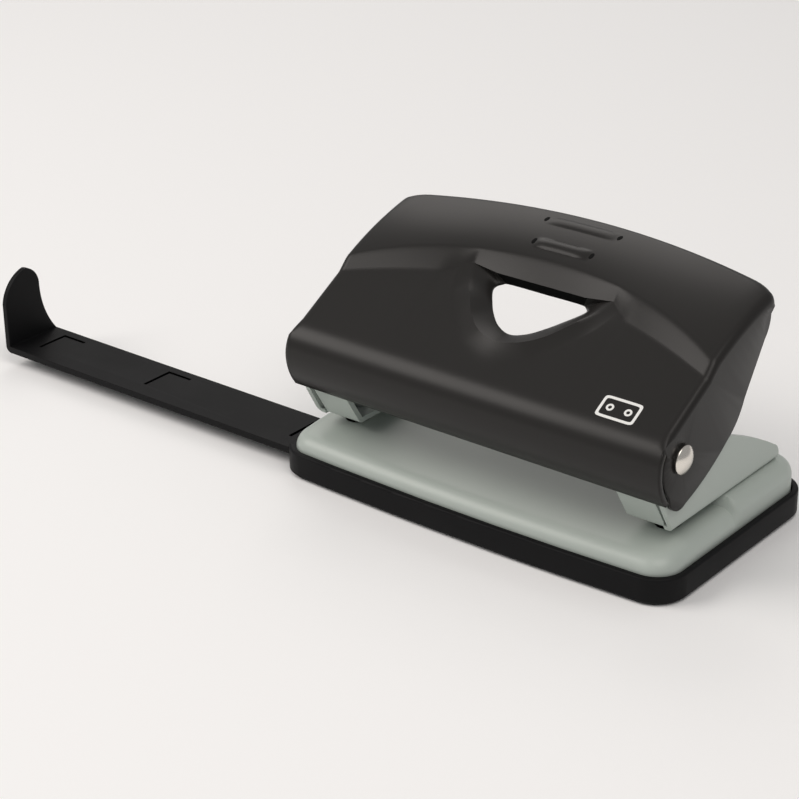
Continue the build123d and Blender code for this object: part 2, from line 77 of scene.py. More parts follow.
camera_data = bpy.data.cameras.new("camera")
camera_data.lens = 102.7
camera_data.sensor_width = 36
camera_data.clip_start = 0.01
camera = bpy.data.objects.new("camera", camera_data)
bpy.context.scene.collection.objects.link(camera)
camera.matrix_world = look_from(
    radians(38.80), radians(25.27), radians(-0.61), 0.4968, (-0.032125, -0.007268, 0.014614)
)
bpy.context.scene.camera = camera


def softbox(name, place, aim, width, height, watts):
    """Rectangular area light that points from its place at aim."""
    lamp = bpy.data.lights.new(name, "AREA")
    lamp.shape = "RECTANGLE"
    lamp.size = width
    lamp.size_y = height
    lamp.energy = watts
    lamp.color = (1.0, 0.95, 0.91)
    holder = bpy.data.objects.new(name, lamp)
    bpy.context.scene.collection.objects.link(holder)
    holder.location = place
    direction = Vector(aim) - Vector(place)
    holder.rotation_euler = direction.to_track_quat("-Z", "Y").to_euler()


MIDDLE_OF_PUNCH = (0, 0, 0.03)
softbox("key_light", (-0.60, -0.52, 0.66), MIDDLE_OF_PUNCH, 0.60, 0.50, 4.6)
softbox("top_light", (0.45, -0.25, 0.86), (0, 0, 0.02), 0.60, 0.60, 3.2)
softbox("back_light", (-0.50, 0.55, 0.62), MIDDLE_OF_PUNCH, 0.50, 0.50, 1.2)

world = bpy.data.worlds.new("studio")
world.use_nodes = True
world.node_tree.nodes["Background"].inputs["Color"].default_value = (1, 1, 1, 1)
world.node_tree.nodes["Background"].inputs["Strength"].default_value = 0.36
bpy.context.scene.world = world
bpy.context.scene.view_settings.view_transform = "Standard"

FLOOR_HALF = 3
FLOOR_Z = -0.0002          # a hair under the tray, so that the two faces don't flicker
floor_corners = [
    (x * FLOOR_HALF, y * FLOOR_HALF, FLOOR_Z) for x, y in ((-1, -1), (1, -1), (1, 1), (-1, 1))
]
floor_mesh = bpy.data.meshes.new("floor")
floor_mesh.from_pydata(floor_corners, [], [(0, 1, 2, 3)])
floor = bpy.data.objects.new("floor", floor_mesh)
bpy.context.scene.collection.objects.link(floor)
floor_paper = bpy.data.materials.new("floor_paper")
floor_paper.use_nodes = True
floor_shader = floor_paper.node_tree.nodes["Principled BSDF"]
floor_shader.inputs["Base Color"].default_value = (0.93, 0.93, 0.93, 1)
floor_shader.inputs["Roughness"].default_value = 0.9
floor_mesh.materials.append(floor_paper)


# ---------------------------------------------------------------- chip tray
# Soft black plastic moulding that closes the underside and catches the chips.
# It snaps under the pan; its rim stands as a dark band round the painted steel.
def value_group(name, inputs, outputs):
    """New shader node group: inputs maps socket names to defaults, outputs lists the results."""
    group = bpy.data.node_groups.new(name, "ShaderNodeTree")
    group.interface.new_socket("Position", in_out="INPUT", socket_type="NodeSocketVector")
    for label, default in inputs.items():
        socket = group.interface.new_socket(label, in_out="INPUT", socket_type="NodeSocketFloat")
        socket.default_value = default
    for label in outputs:
        group.interface.new_socket(label, in_out="OUTPUT", socket_type="NodeSocketFloat")
    group_in = group.nodes.new("NodeGroupInput")
    group_out = group.nodes.new("NodeGroupOutput")
    return group, group_in, group_out


def grain_group():
    """Fine surface grain and slow unevenness: a height for bumps and a roughness shift."""
    group, group_in, group_out = value_group(
        "surface_grain",
        {"Grain Scale": 2500.0, "Cloud Scale": 60.0, "Roughness": 0.5, "Roughness Spread": 0.06},
        ["Height", "Roughness"],
    )
    grain = group.nodes.new("ShaderNodeTexNoise")
    grain.inputs["Detail"].default_value = 2.0
    cloud = group.nodes.new("ShaderNodeTexNoise")
    cloud.inputs["Detail"].default_value = 3.0
    for texture, scale in ((grain, "Grain Scale"), (cloud, "Cloud Scale")):
        group.links.new(group_in.outputs["Position"], texture.inputs["Vector"])
        group.links.new(group_in.outputs[scale], texture.inputs["Scale"])
    centred = group.nodes.new("ShaderNodeMath")
    centred.operation = "SUBTRACT"
    centred.inputs[1].default_value = 0.5
    group.links.new(cloud.outputs["Fac"], centred.inputs[0])
    shifted = group.nodes.new("ShaderNodeMath")
    shifted.operation = "MULTIPLY_ADD"
    group.links.new(centred.outputs[0], shifted.inputs[0])
    group.links.new(group_in.outputs["Roughness Spread"], shifted.inputs[1])
    group.links.new(group_in.outputs["Roughness"], shifted.inputs[2])
    group.links.new(grain.outputs["Fac"], group_out.inputs["Height"])
    group.links.new(shifted.outputs[0], group_out.inputs["Roughness"])
    return group


SURFACE_GRAIN = grain_group()


def finish_material(name, colour, metallic, roughness, spread, grain_scale, bump, specular=0.5):
    """Principled material whose roughness and bump come from the shared surface grain."""
    material = bpy.data.materials.new(name)
    material.use_nodes = True
    nodes = material.node_tree.nodes
    links = material.node_tree.links
    shader = nodes["Principled BSDF"]
    shader.inputs["Base Color"].default_value = (*colour, 1)
    shader.inputs["Metallic"].default_value = metallic
    shader.inputs["Specular IOR Level"].default_value = specular
    place = nodes.new("ShaderNodeTexCoord")
    grain = nodes.new("ShaderNodeGroup")
    grain.node_tree = SURFACE_GRAIN
    grain.inputs["Grain Scale"].default_value = grain_scale
    grain.inputs["Roughness"].default_value = roughness
    grain.inputs["Roughness Spread"].default_value = spread
    links.new(place.outputs["Object"], grain.inputs["Position"])
    links.new(grain.outputs["Roughness"], shader.inputs["Roughness"])
    relief = nodes.new("ShaderNodeBump")
    relief.inputs["Strength"].default_value = bump
    relief.inputs["Distance"].default_value = 0.0001
    links.new(grain.outputs["Height"], relief.inputs["Height"])
    links.new(relief.outputs["Normal"], shader.inputs["Normal"])
    return material


black_plastic = finish_material(
    "black_plastic", (0.0045, 0.0045, 0.0050), 0.0, 0.55, 0.10, 3000, 0.10, 0.14
)


def finished_copy(node, body, material, edge=0.00015, smooth_angle=35):
    """Merged copy of a CAD node with its sharp edges rounded, standing in for the node.

    With no body given, the copy is attached to no body.
    """
    mesh = NODES[node].data.copy()
    work = bmesh.new()
    work.from_mesh(mesh)
    bmesh.ops.remove_doubles(work, verts=work.verts, dist=1e-6)
    bmesh.ops.dissolve_limit(work, angle_limit=radians(1), verts=work.verts, edges=work.edges)
    work.to_mesh(mesh)
    work.free()
    mesh.materials.clear()
    mesh.materials.append(material)
    mesh.shade_smooth()
    mesh.set_sharp_from_angle(angle=radians(smooth_angle))
    piece = bpy.data.objects.new(node + "_finished", mesh)
    bpy.context.scene.collection.objects.link(piece)
    if edge > 0:
        rounding = piece.modifiers.new("edge rounding", "BEVEL")
        rounding.width = edge
        rounding.segments = 2
        rounding.limit_method = "ANGLE"
        rounding.angle_limit = radians(40)
        rounding.harden_normals = True
    if body:
        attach(piece, body)
    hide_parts(node)
    return piece


finished_copy("chip_tray", "tray", black_plastic, edge=0.0003)


# ---------------------------------------------------------------- base pan and die plates
# Deep-drawn steel pan, spray painted grey-green: a low front table and a platform behind a step.
# The two die plates are welded under the table.
base_paint = finish_material("base_paint", (0.42, 0.465, 0.43), 0.0, 0.36, 0.06, 1800, 0.05, 0.4)
bare_steel = finish_material("bare_steel", (0.55, 0.55, 0.56), 1.0, 0.30, 0.08, 2500, 0.04)
pan_low, pan_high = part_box("base_plate")
PAN_SHEET = 0.001
PAN_ROUND = 0.0036
PAN_CORNER = 0.0059
PAN_BOW = 0.0011           # the front edge bows out by this much at its middle
TABLE_Z = 0.0100
LEAD_IN = 0.0009           # the table falls by this much towards its front edge
STEP_RUN = 0.0011          # length of the step's slope
HOLE_X = 0.040
HOLE_Y = -0.012
GATE = (-0.0249, -0.0089)  # the left skirt is higher between these y, over the guide bar
GATE_RISE = 0.00055
DIE_HOLE_RADIUS = 0.0028
ROUND_STEPS = 8            # rows of the mesh round the pan's top edge, then across its top
TOP_STEPS = 56
SPINE = 0.022              # the rows across the top close on a line this long each way


def eased(value, start, end):
    """Share of the way from start to end, with a soft beginning and a soft end."""
    share = min(max((value - start) / (end - start), 0.0), 1.0)
    return share * share * (3 - 2 * share)


def pan_top(y):
    """Height of the pan's upper face: a table that falls to the front, and the platform."""
    table = TABLE_Z - LEAD_IN * eased(-y, 0.012, 0.025)
    return table + (pan_high.z - TABLE_Z) * eased(y, -0.0001, STEP_RUN)


CORNER_STEPS = 12          # steps of the outline round a corner, along x and along y
SIDE_STEPS_X = 120
SIDE_STEPS_Y = 90


def pan_outline(inset):
    """Plan outline of the pan, set in, as evenly numbered points from the back right corner."""
    half_x = pan_high.x - inset
    back = pan_high.y - inset
    front = pan_low.y + PAN_BOW + inset
    corner = PAN_CORNER - inset
    points = []
    for sign_x, sign_y in ((1, 1), (-1, 1), (-1, -1), (1, -1)):
        middle = ((half_x - corner) * sign_x, (back if sign_y > 0 else front) - corner * sign_y)
        turned_to = {(1, 1): 0, (-1, 1): 90, (-1, -1): 180, (1, -1): 270}[sign_x, sign_y]
        for i in range(CORNER_STEPS + 1):
            angle = radians(turned_to + 90 * i / CORNER_STEPS)
            points.append((middle[0] + corner * cos(angle), middle[1] + corner * sin(angle)))
        steps = SIDE_STEPS_X if sign_y == sign_x else SIDE_STEPS_Y
        for i in range(1, steps):
            share = i / steps
            if sign_y == sign_x:
                x = (half_x - corner) * sign_x * (1 - 2 * share)
                bow = PAN_BOW * (1 - (1 - 2 * share) ** 2) if sign_y < 0 else 0.0
                points.append((x, (back if sign_y > 0 else front) - bow))
            else:
                span = back - front - 2 * corner
                start = back - corner if sign_x < 0 else front + corner
                points.append((half_x * sign_x, start + sign_x * span * share))
    return points


pan = bmesh.new()
inner_outline = pan_outline(PAN_ROUND)
tops = [pan_top(y) for x, y in inner_outline]
pan_rows = []
bottom = []
for x, y in pan_outline(0):
    over_bar = x < 0 and GATE[0] < y < GATE[1]
    bottom.append(pan.verts.new((x, y, pan_low.z + (GATE_RISE if over_bar else 0.0))))
pan_rows.append(bottom)
for i in range(ROUND_STEPS + 1):
    angle = pi / 2 * i / ROUND_STEPS
    outline = pan_outline(PAN_ROUND * (1 - cos(angle)))
    pan_rows.append([
        pan.verts.new((x, y, top - PAN_ROUND * (1 - sin(angle))))
        for (x, y), top in zip(outline, tops)
    ])
for i in range(1, TOP_STEPS + 1):
    share = i / TOP_STEPS
    row = []
    for x, y in inner_outline:
        spine_x = max(-SPINE, min(SPINE, x * SPINE / (pan_high.x - PAN_CORNER)))
        place_x = x + (spine_x - x) * share
        place_y = y * (1 - share)
        row.append(pan.verts.new((place_x, place_y, pan_top(place_y))))
    pan_rows.append(row)
for row, following in zip(pan_rows, pan_rows[1:]):
    for i in range(len(row)):
        j = (i + 1) % len(row)
        pan.faces.new((row[i], row[j], following[j], following[i]))
bmesh.ops.remove_doubles(pan, verts=pan.verts, dist=2e-6)
bmesh.ops.dissolve_degenerate(pan, edges=pan.edges, dist=1e-6)
bmesh.ops.recalc_face_normals(pan, faces=pan.faces)
if max(pan.faces, key=lambda face: face.calc_center_median().z).normal.z < 0:
    bmesh.ops.reverse_faces(pan, faces=pan.faces)
pan_mesh = bpy.data.meshes.new("pan_solid")
pan.to_mesh(pan_mesh)
pan.free()
pan_shell = bpy.data.objects.new("pan_shell", pan_mesh)
bpy.context.scene.collection.objects.link(pan_shell)
sheet = pan_shell.modifiers.new("sheet thickness", "SOLIDIFY")
sheet.thickness = PAN_SHEET
sheet.offset = -1
punches = bmesh.new()
for x in (-HOLE_X, HOLE_X):
    bmesh.ops.create_cone(
        punches, cap_ends=True, segments=40, radius1=DIE_HOLE_RADIUS, radius2=DIE_HOLE_RADIUS,
        depth=0.01, matrix=Matrix.Translation((x, HOLE_Y, TABLE_Z)),
    )
punches_mesh = bpy.data.meshes.new("die_holes")
punches.to_mesh(punches_mesh)
punches.free()
cutter = bpy.data.objects.new("die_holes", punches_mesh)
bpy.context.scene.collection.objects.link(cutter)
holes = pan_shell.modifiers.new("die holes", "BOOLEAN")
holes.object = cutter
holes.solver = "EXACT"
bpy.context.view_layer.update()
finished_pan = bpy.data.meshes.new_from_object(
    pan_shell.evaluated_get(bpy.context.evaluated_depsgraph_get())
)
pan_shell.modifiers.clear()
pan_shell.data = finished_pan
bpy.data.objects.remove(cutter)
finished_pan.materials.clear()
finished_pan.materials.append(base_paint)
finished_pan.shade_smooth()
finished_pan.set_sharp_from_angle(angle=radians(50))
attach(pan_shell, "base")
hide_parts("base_plate")
for side in ("left", "right"):
    finished_copy("die_plate_" + side, "base", bare_steel)


# ---------------------------------------------------------------- guide bar
# Slim black plastic bar with an upright tongue; it slides out of the tray's left end.
# Its engraved marks show where to stop it for each paper size.
MARK_DEPTH = 0.0003        # depth of the engraved marks, whose walls and floors are painted near-black as shade
# near-black painted shade for the engraved marks' walls and floors
painted_groove_shade = finish_material(
    "painted_groove_shade", (0.001, 0.001, 0.001), 0.0, 0.9, 0.02, 2500, 0.0, 0.0
)
guide_bar = finished_copy("guide_bar", "guide", black_plastic)
guide_bar.data.materials.append(painted_groove_shade)
facing_up = [face for face in guide_bar.data.polygons if face.normal.z > 0.9]
bar_top = max(facing_up, key=lambda face: face.area).center.z
# faces of the marks' walls and floors take the painted groove shade
for face in guide_bar.data.polygons:
    below = bar_top - face.center.z
    wall = abs(face.normal.z) < 0.1 and 0.3 * MARK_DEPTH < below < 0.7 * MARK_DEPTH
    ground = face.normal.z > 0.9 and 0.9 * MARK_DEPTH < below < 1.1 * MARK_DEPTH
    if wall or ground:
        face.material_index = 1


# ---------------------------------------------------------------- brackets and upper guides
# Folded steel brackets in the pan's paint carry the pins; each is riveted on the platform.
# A small welded angle inside the wall guides the pin a second time.
for side in ("left", "right"):
    finished_copy("bracket_" + side, "base", base_paint, edge=0.00025)
    finished_copy("upper_guide_" + side, "base", base_paint)


# ---------------------------------------------------------------- rivets, washers and pins
# Nickel-plated rivets join brackets, pan and handle. Bright ground pins carry a washer and
# an open clip, which a coil spring lifts back: it stands on the upper guide.
nickel = finish_material("nickel", (0.78, 0.74, 0.68), 1.0, 0.22, 0.06, 1500, 0.03)
ground_steel = finish_material("ground_steel", (0.62, 0.62, 0.63), 1.0, 0.18, 0.08, 900, 0.04)
spring_wire = finish_material("spring_wire", (0.42, 0.42, 0.43), 1.0, 0.28, 0.08, 1500, 0.04)
zinc_plate = finish_material("zinc_plate", (0.60, 0.61, 0.63), 1.0, 0.35, 0.12, 700, 0.05)


def rivet_tree():
    """Rivets on the input's points: a domed head above, and a flat head below."""
    tree = bpy.data.node_groups.new("riveted_heads", "GeometryNodeTree")
    tree.interface.new_socket("Geometry", in_out="INPUT", socket_type="NodeSocketGeometry")
    sizes = {"Head Radius": 0.0026, "Head Height": 0.0011, "Tail Depth": 0.0031,
             "Tail Radius": 0.0026, "Tail Height": 0.0009}
    for label, default in sizes.items():
        socket = tree.interface.new_socket(label, in_out="INPUT", socket_type="NodeSocketFloat")
        socket.default_value = default
    tree.interface.new_socket("Metal", in_out="INPUT", socket_type="NodeSocketMaterial")
    tree.interface.new_socket("Geometry", in_out="OUTPUT", socket_type="NodeSocketGeometry")
    nodes, link = tree.nodes, tree.links.new
    group_in = nodes.new("NodeGroupInput")
    dome = nodes.new("GeometryNodeMeshUVSphere")
    dome.inputs["Segments"].default_value = 40
    dome.inputs["Rings"].default_value = 20
    dome.inputs["Radius"].default_value = 1.0
    spread = nodes.new("ShaderNodeCombineXYZ")
    for axis in ("X", "Y"):
        link(group_in.outputs["Head Radius"], spread.inputs[axis])
    link(group_in.outputs["Head Height"], spread.inputs["Z"])
    head = nodes.new("GeometryNodeTransform")
    link(dome.outputs["Mesh"], head.inputs["Geometry"])
    link(spread.outputs["Vector"], head.inputs["Scale"])
    tail = nodes.new("GeometryNodeMeshCylinder")
    tail.inputs["Vertices"].default_value = 40
    link(group_in.outputs["Tail Radius"], tail.inputs["Radius"])
    link(group_in.outputs["Tail Height"], tail.inputs["Depth"])
    down = nodes.new("ShaderNodeMath")
    down.operation = "MULTIPLY"
    down.inputs[1].default_value = -1.0
    link(group_in.outputs["Tail Depth"], down.inputs[0])
    drop = nodes.new("ShaderNodeCombineXYZ")
    link(down.outputs[0], drop.inputs["Z"])
    low = nodes.new("GeometryNodeTransform")
    link(tail.outputs["Mesh"], low.inputs["Geometry"])
    link(drop.outputs["Vector"], low.inputs["Translation"])
    both = nodes.new("GeometryNodeJoinGeometry")
    link(head.outputs["Geometry"], both.inputs["Geometry"])
    link(low.outputs["Geometry"], both.inputs["Geometry"])
    put = nodes.new("GeometryNodeInstanceOnPoints")
    link(group_in.outputs["Geometry"], put.inputs["Points"])
    link(both.outputs["Geometry"], put.inputs["Instance"])
    real = nodes.new("GeometryNodeRealizeInstances")
    link(put.outputs["Instances"], real.inputs["Geometry"])
    paint = nodes.new("GeometryNodeSetMaterial")
    link(real.outputs["Geometry"], paint.inputs["Geometry"])
    link(group_in.outputs["Metal"], paint.inputs["Material"])
    group_out = nodes.new("NodeGroupOutput")
    link(paint.outputs["Geometry"], group_out.inputs["Geometry"])
    return tree


RIVETS = rivet_tree()
FLOOR_TOP = 0.0136         # upper face of the brackets' floors
PIVOT = (-0.0191, 0.0290)  # y and z of the handle's axle
PIVOT_HEAD = 0.87          # the pivot rivets' heads are this much of their full size
RIVET_PLACES = ((0.040, 0.0065), (0.040, 0.0165))


def riveted(node, places, body):
    """Plain mesh of rivets at the places, standing in for the CAD node."""
    points = bpy.data.meshes.new(node + "_points")
    points.from_pydata(places, [], [])
    piece = bpy.data.objects.new(node + "_domed", points)
    bpy.context.scene.collection.objects.link(piece)
    build = piece.modifiers.new("rivets", "NODES")
    build.node_group = RIVETS
    for item in RIVETS.interface.items_tree:
        if item.name == "Metal":
            build[item.identifier] = nickel
    bpy.context.view_layer.update()
    made = bpy.data.meshes.new_from_object(
        piece.evaluated_get(bpy.context.evaluated_depsgraph_get())
    )
    piece.modifiers.clear()
    piece.data = made
    made.shade_smooth()
    made.set_sharp_from_angle(angle=radians(50))
    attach(piece, body)
    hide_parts(node)


for side, sign_x in (("left", -1), ("right", 1)):
    riveted(
        "bracket_rivets_" + side, [(sign_x * x, y, FLOOR_TOP) for x, y in RIVET_PLACES], "base"
    )
for side in ("left", "right"):
    pivot = finished_copy("pivot_rivet_" + side, "base", nickel)
    about = Matrix.Translation((0, *PIVOT))
    smaller = Matrix.Diagonal((1, PIVOT_HEAD, PIVOT_HEAD, 1))
    pivot.data.transform(about @ smaller @ about.inverted())
    finished_copy("pivot_washer_" + side, "base", zinc_plate)
    finished_copy("punch_pin_" + side, "pin_" + side, ground_steel)
    finished_copy("spring_washer_" + side, "pin_" + side, zinc_plate)
    finished_copy("retaining_clip_" + side, "pin_" + side, spring_wire)
    spring = finished_copy(
        "return_spring_" + side, None, spring_wire, edge=0, smooth_angle=60
    )
    low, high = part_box("return_spring_" + side)
    middle = (low + high) / 2
    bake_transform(spring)


# ---------------------------------------------------------------- handle
# Pressed steel lever, painted satin black: a sloping panel that rolls into the nose, an arched
# step, a crowned top with a turned-down back, and a folded cheek at each end.
HANDLE_HALF = 0.047
SHEET = 0.001
BEND = 0.0016              # radius of the fold between the shell and a cheek
PANEL_RISE = 0.56          # slope of the panel, and its height at y 0
PANEL_HEIGHT = 0.04826
NOSE_LIP = (-0.0244, 0.0207)
FLANGE_END = 0.0506        # height of the back flange's lower edge
NOSE_ROWS = 22             # rows of the mesh along the nose, then along the panel
PANEL_ROWS = 23
FINE_STEP = 0.0005         # width of the mesh's columns over the collar and the ribs


def panel_z(y):
    """Height of the panel's outer face."""
    return PANEL_HEIGHT + PANEL_RISE * y


def arc(start, through, end, count):
    """Points on the circle through three (y, z) points, from start to end, both included."""
    a, b, c = Vector(start), Vector(through), Vector(end)
    ab, ac = b - a, c - a
    twice = 2 * (ab.x * ac.y - ab.y * ac.x)
    centre = a + Vector((
        (ac.y * ab.length_squared - ab.y * ac.length_squared) / twice,
        (ab.x * ac.length_squared - ac.x * ab.length_squared) / twice,
    ))
    first = a - centre
    sweep = first.angle_signed(b - centre) + (b - centre).angle_signed(c - centre)
    points = []
    for i in range(count):
        angle = -sweep * i / (count - 1)
        points.append(centre + Matrix.Rotation(angle, 2) @ first)
    return points


def straight(start, end, count):
    """Evenly spaced points from start to end, both included."""
    return [Vector(start).lerp(Vector(end), i / (count - 1)) for i in range(count)]


COLLAR_HALF = 0.0205       # half width of the collar round the thumb window, at its corners
TIP_X = 0.0175             # and at the tips of its ridge
WINDOW_X = 0.009           # half length of the window's straight upper edge
FOOT_BLEND = 0.0235        # the recess behind the collar has faded out here
# the step's lower edge over the collar: (|x|, y, z)
RECESS = [(0, -0.0004, 0.0473), (0.0110, -0.0004, 0.0473), (TIP_X, 0.0001, 0.0479),
          (COLLAR_HALF, -0.0020, 0.04690)]


def step_foot(x):
    """Lower edge of the arched step, set back over the collar and at the panel beside it."""
    reach = abs(x)
    side_y = -0.0021 - 3.9 * max(reach, FOOT_BLEND) ** 2
    keys = [*RECESS, (FOOT_BLEND, side_y, panel_z(side_y))]
    if reach >= FOOT_BLEND:
        return Vector((side_y, panel_z(side_y)))
    for (x0, y0, z0), (x1, y1, z1) in zip(keys, keys[1:]):
        if reach <= x1:
            return Vector((y0, z0)).lerp(Vector((y1, z1)), (reach - x0) / (x1 - x0))


def step_top(x):
    """Upper edge of the arched step, where the crown begins."""
    return Vector((0.0035 - 5.3 * x**2, 0.05117 - 1.82 * x**2 - 497 * x**4))


def softened(line, rounds):
    """The line with its corners relaxed between two fixed ends, for the press tool's radius."""
    for _ in range(rounds):
        inner = [
            line[i] * 0.5 + (line[i - 1] + line[i + 1]) * 0.25 for i in range(1, len(line) - 1)
        ]
        line = [line[0], *inner, line[-1]]
    return line


def shell_line(x):
    """Side-view line of the shell at x, from the nose's lower lip to the back flange's edge."""
    # the crown's back corners are rounded off over the last 6 mm
    far = max(0.0, abs(x) - HANDLE_HALF + 0.006) / 0.006
    drop = 1.0 - sqrt(1.0 - min(far, 1.0) ** 2)
    top = Vector((0.0194 - 2.2 * x**2 - 0.0024 * drop, 0.0558 - 1.3 * x**2 - 0.0016 * drop))
    roll = top + Vector((-0.0016, -0.0001))
    back = top + Vector((0.0009, -0.0023))
    high = step_top(x)
    foot = step_foot(x)
    crown = (high + roll) * 0.5 + Vector((-0.0002, 0.0007))
    nose_back = Vector((-0.0274, 0.0282))
    brow_back = Vector((-0.0230, panel_z(-0.0230)))
    nose = arc(NOSE_LIP, (-0.0265, 0.0242), nose_back, 10)[:-1]
    nose += arc(nose_back, (-0.02655, 0.0320), brow_back, NOSE_ROWS - 8)
    panel = straight(brow_back, foot, PANEL_ROWS + 1)
    hood = straight(foot, high, 9)[:-1]
    hood += arc(high, crown, roll, 56)[:-1]
    hood += arc(roll, top + Vector((0.00035, -0.0006)), back, 10)[:-1]
    hood += straight(back, (back.x, min(FLANGE_END, back.y - 0.0002)), 4)
    return softened(nose, 4)[:-1] + panel[:-1] + softened(hood, 2)


def line_normals(line):
    """Outward normals of a side-view line that runs from the nose over the top to the back."""
    normals = []
    for i in range(len(line)):
        ahead = line[min(i + 1, len(line) - 1)] - line[max(i - 1, 0)]
        normals.append(Vector((-ahead.y, ahead.x)).normalized())
    return normals


# two lanced ribs on the crown give the palm grip: (half length, place, half width, height)
RIBS = [(0.0087, 0.0147, 0.0015, 0.0003), (0.0067, 0.0073, 0.0014, 0.0005)]


def rib_rise(x, y):
    """Height of the lanced ribs over the crown at (x, y)."""
    rise = 0.0
    for half, middle, width, height in RIBS:
        along = min(abs(x) / half, 1.0)
        across = min(abs(y - middle) / width, 1.0)
        rise += height * (1 - along**5) * (1 - across**2) ** 0.8
    return rise


PATCH_HALF = 0.022         # the collar's part of the panel is meshed apart from the rows
CHEEK_X = HANDLE_HALF - 0.0003   # the nose's ends stand this little proud of the cheeks
FOOT_ROW = NOSE_ROWS + PANEL_ROWS
PATCH_ROW = NOSE_ROWS + 2
SLIT_ROW = NOSE_ROWS - 5   # up to here the shell's end stands free of the cheek


def cheek_fold(x):
    """Plan place and inset of the fold at x: beyond the fold's start the shell bends inwards."""
    start = CHEEK_X - BEND
    if abs(x) <= start:
        return abs(x), 0.0
    angle = (abs(x) - start) / BEND * pi / 2
    return start + BEND * sin(angle), BEND * (1 - cos(angle))


def handle_columns():
    """Places of the mesh's columns along the handle, dense where the ribs and the collar are."""
    fine = [i * FINE_STEP for i in range(45)]
    coarse = [0.0232, 0.0245] + [0.026 + i * 0.0015 for i in range(11)]
    coarse += [0.0422, 0.0432, 0.0440, 0.0447]
    fold = [CHEEK_X - BEND + BEND * i / 6 for i in range(7)]
    right = fine + coarse + fold
    return [-x for x in right[:0:-1]] + right


def smooth_through(points, place):
    """Point at a place, counted in keys, on a smooth curve through the key points."""
    i = min(int(place), len(points) - 2)
    u = place - i
    before = points[max(i - 1, 0)]
    start, end = points[i], points[i + 1]
    after = points[min(i + 2, len(points) - 1)]
    return (
        start * 2
        + (end - before) * u
        + (before * 2 - start * 5 + end * 4 - after) * u**2
        + (start * 3 - before - end * 3 + after) * u**3
    ) * 0.5


def on_panel(x, y, lift):
    """Point over the panel at (x, y), lifted off it."""
    return Vector((x, y, panel_z(y) + lift))


def on_foot(x):
    """Point of the step's lower edge at x."""
    foot = step_foot(x)
    return Vector((x, foot.x, foot.y))


# right half of the collar's outline, its ridge and the window's edge, from the corner down
outline_keys = [
    on_foot(COLLAR_HALF), on_panel(0.0184, -0.0071, 0), on_panel(0.0152, -0.0115, 0),
    on_panel(0.0114, -0.0150, 0), on_panel(0.0073, -0.0183, 0), on_panel(0, -0.0206, 0),
]
ridge_keys = [
    on_foot(TIP_X), on_panel(0.0156, -0.0034, -0.00045), on_panel(0.0127, -0.0077, 0.0003),
    on_panel(0.0092, -0.0118, 0.0005), on_panel(0.0049, -0.0149, 0.0009),
    on_panel(0, -0.0161, 0.0010),
]
window_keys = [
    on_panel(0, 0.0012, -0.0043), on_panel(0.0086, 0.0012, -0.0043),
    on_panel(0.0105, 0.0008, -0.0043), on_panel(0.0114, -0.0005, -0.0040),
    on_panel(0.0108, -0.0023, -0.0033), on_panel(0.0089, -0.0050, -0.0026),
    on_panel(0.0067, -0.0076, -0.0022), on_panel(0.0036, -0.0101, -0.0020),
    on_panel(0, -0.0112, -0.0020),
]


RIDGE_LEAD = 0.35          # the ridge is this many keys below its tip at the collar's corner


def mirrored_end(keys):
    """Keys with the last but one repeated on the other side, so that the curve is level at x 0."""
    twin = keys[-2].copy()
    twin.x = -twin.x
    return [*keys, twin]


def collar_spoke(place):
    """Outline, ridge and window points of a spoke: place 0 is the top middle, 8 the bottom."""
    if place <= 1:
        x = WINDOW_X * place
    elif place <= 2:
        x = WINDOW_X + (TIP_X - WINDOW_X) * (place - 1)
    else:
        x = TIP_X + (COLLAR_HALF - TIP_X) * (place - 2)
    window = smooth_through([window_keys[0], *mirrored_end(window_keys)][1:], place)
    if place <= 2:
        return on_foot(x), on_foot(x), window
    lead = RIDGE_LEAD * min(place - 2, 1) + max(place - 3, 0) * (1 - RIDGE_LEAD / 5)
    ridge = smooth_through(mirrored_end(ridge_keys), lead)
    if place <= 3:
        return on_foot(x), ridge, window
    return smooth_through(mirrored_end(outline_keys), place - 3), ridge, window


SLOPE_STEPS = 6            # mesh steps up the collar's outer slope, then down to the window
MOUTH_STEPS = 10


def collar_line(place):
    """Points of one spoke, from the outline over the ridge to the window's edge."""
    outline, ridge, window = collar_spoke(place)
    lift = 0.0010 * min(max(place - 3, 0.0), 1.0)
    line = []
    for i in range(SLOPE_STEPS + 1):
        v = i / SLOPE_STEPS
        point = outline.lerp(ridge, v)
        point.z += lift * (v**1.7 - v)
        line.append(point)
    fall = min(max(place - 1.4, 0.0), 1.0) * 0.55
    for i in range(1, MOUTH_STEPS + 1):
        v = i / MOUTH_STEPS
        point = ridge.lerp(window, v)
        level = ridge.lerp(window, sin(v * pi / 2))
        steep = ridge.lerp(window, 1 - cos(v * pi / 2))
        rolled = Vector((level.x, level.y, steep.z))
        line.append(point.lerp(rolled, fall))
    return line


